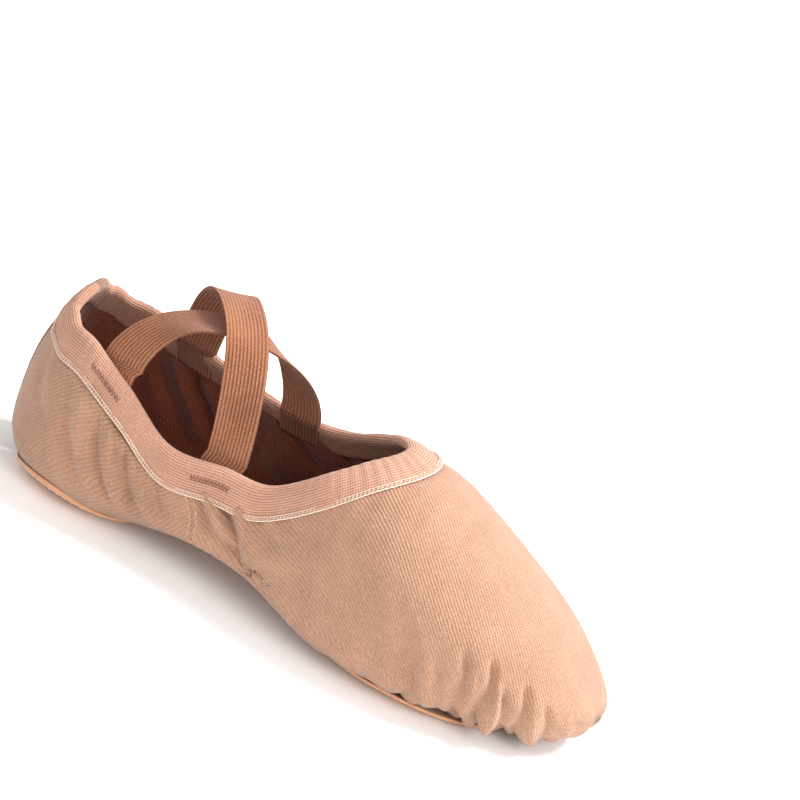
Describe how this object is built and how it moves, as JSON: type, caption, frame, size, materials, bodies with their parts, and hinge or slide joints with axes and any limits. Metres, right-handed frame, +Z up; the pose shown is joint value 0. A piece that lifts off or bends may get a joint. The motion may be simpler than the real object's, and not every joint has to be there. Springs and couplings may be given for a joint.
{
  "type": "ballet slipper",
  "caption": "Soft split-sole ballet slipper for the right foot, with canvas upper, elastic topline and two crossed elastic instep straps.",
  "frame": {"origin": "centre of the bounding box at floor level", "axes": "+X from heel to toe, +Y to the inner side of the right foot, +Z up"},
  "size_m": [0.2393, 0.0847, 0.0895],
  "materials": {
    "canvas": "stretch canvas with fine twill ribs",
    "suede": "split suede, fine nap",
    "patch_thread": "cream and brown lockstitch",
    "strap_elastic": "ribbed elastic webbing",
    "heel_elastic": "ribbed elastic",
    "binding": "knitted folded elastic",
    "overlock_thread": "white overlock thread",
    "tack_thread": "red-brown bar tack thread",
    "insole_suede": "brown suede-faced pad, quilted",
    "seam_tape": "cotton tape"
  },
  "bodies": {
    "slipper": {"bar_tack_front_inner": "tack_thread", "bar_tack_front_outer": "tack_thread", "bar_tack_rear_inner": "tack_thread", "bar_tack_rear_outer": "tack_thread", "binding_overlock": "overlock_thread", "forefoot_patch": "suede", "forefoot_patch_stitch": "patch_thread", "heel_elastic": "heel_elastic", "heel_patch": "suede", "heel_patch_stitch": "patch_thread", "insole_forefoot": "insole_suede", "insole_heel": "insole_suede", "quarter_inner": "canvas", "quarter_outer": "canvas", "seam_tape_inner": "seam_tape", "seam_tape_outer": "seam_tape", "strap_end_front_inner": "strap_elastic", "strap_end_front_outer": "strap_elastic", "strap_end_rear_inner": "strap_elastic", "strap_end_rear_outer": "strap_elastic", "topline_binding": "binding", "vamp": "canvas"},
    "strap_rear": {"strap_rear": "strap_elastic"},
    "strap_front": {"strap_front": "strap_elastic"}
  },
  "joints": [
    {"name": "strap_rear_swing", "type": "hinge", "parent": "slipper", "child": "strap_rear", "pos_m": [-0.07741, -0.01654, 0.05858], "axis": [0.8539, 0.518, -0.0514], "range_deg": [-12, 4], "stiffness_Nm_per_rad": 0.004},
    {"name": "strap_front_swing", "type": "hinge", "parent": "slipper", "child": "strap_front", "pos_m": [-0.03, -0.01912, 0.04582], "axis": [-0.651, 0.7336, 0.1951], "range_deg": [-12, 12], "stiffness_Nm_per_rad": 0.004}
  ]
}
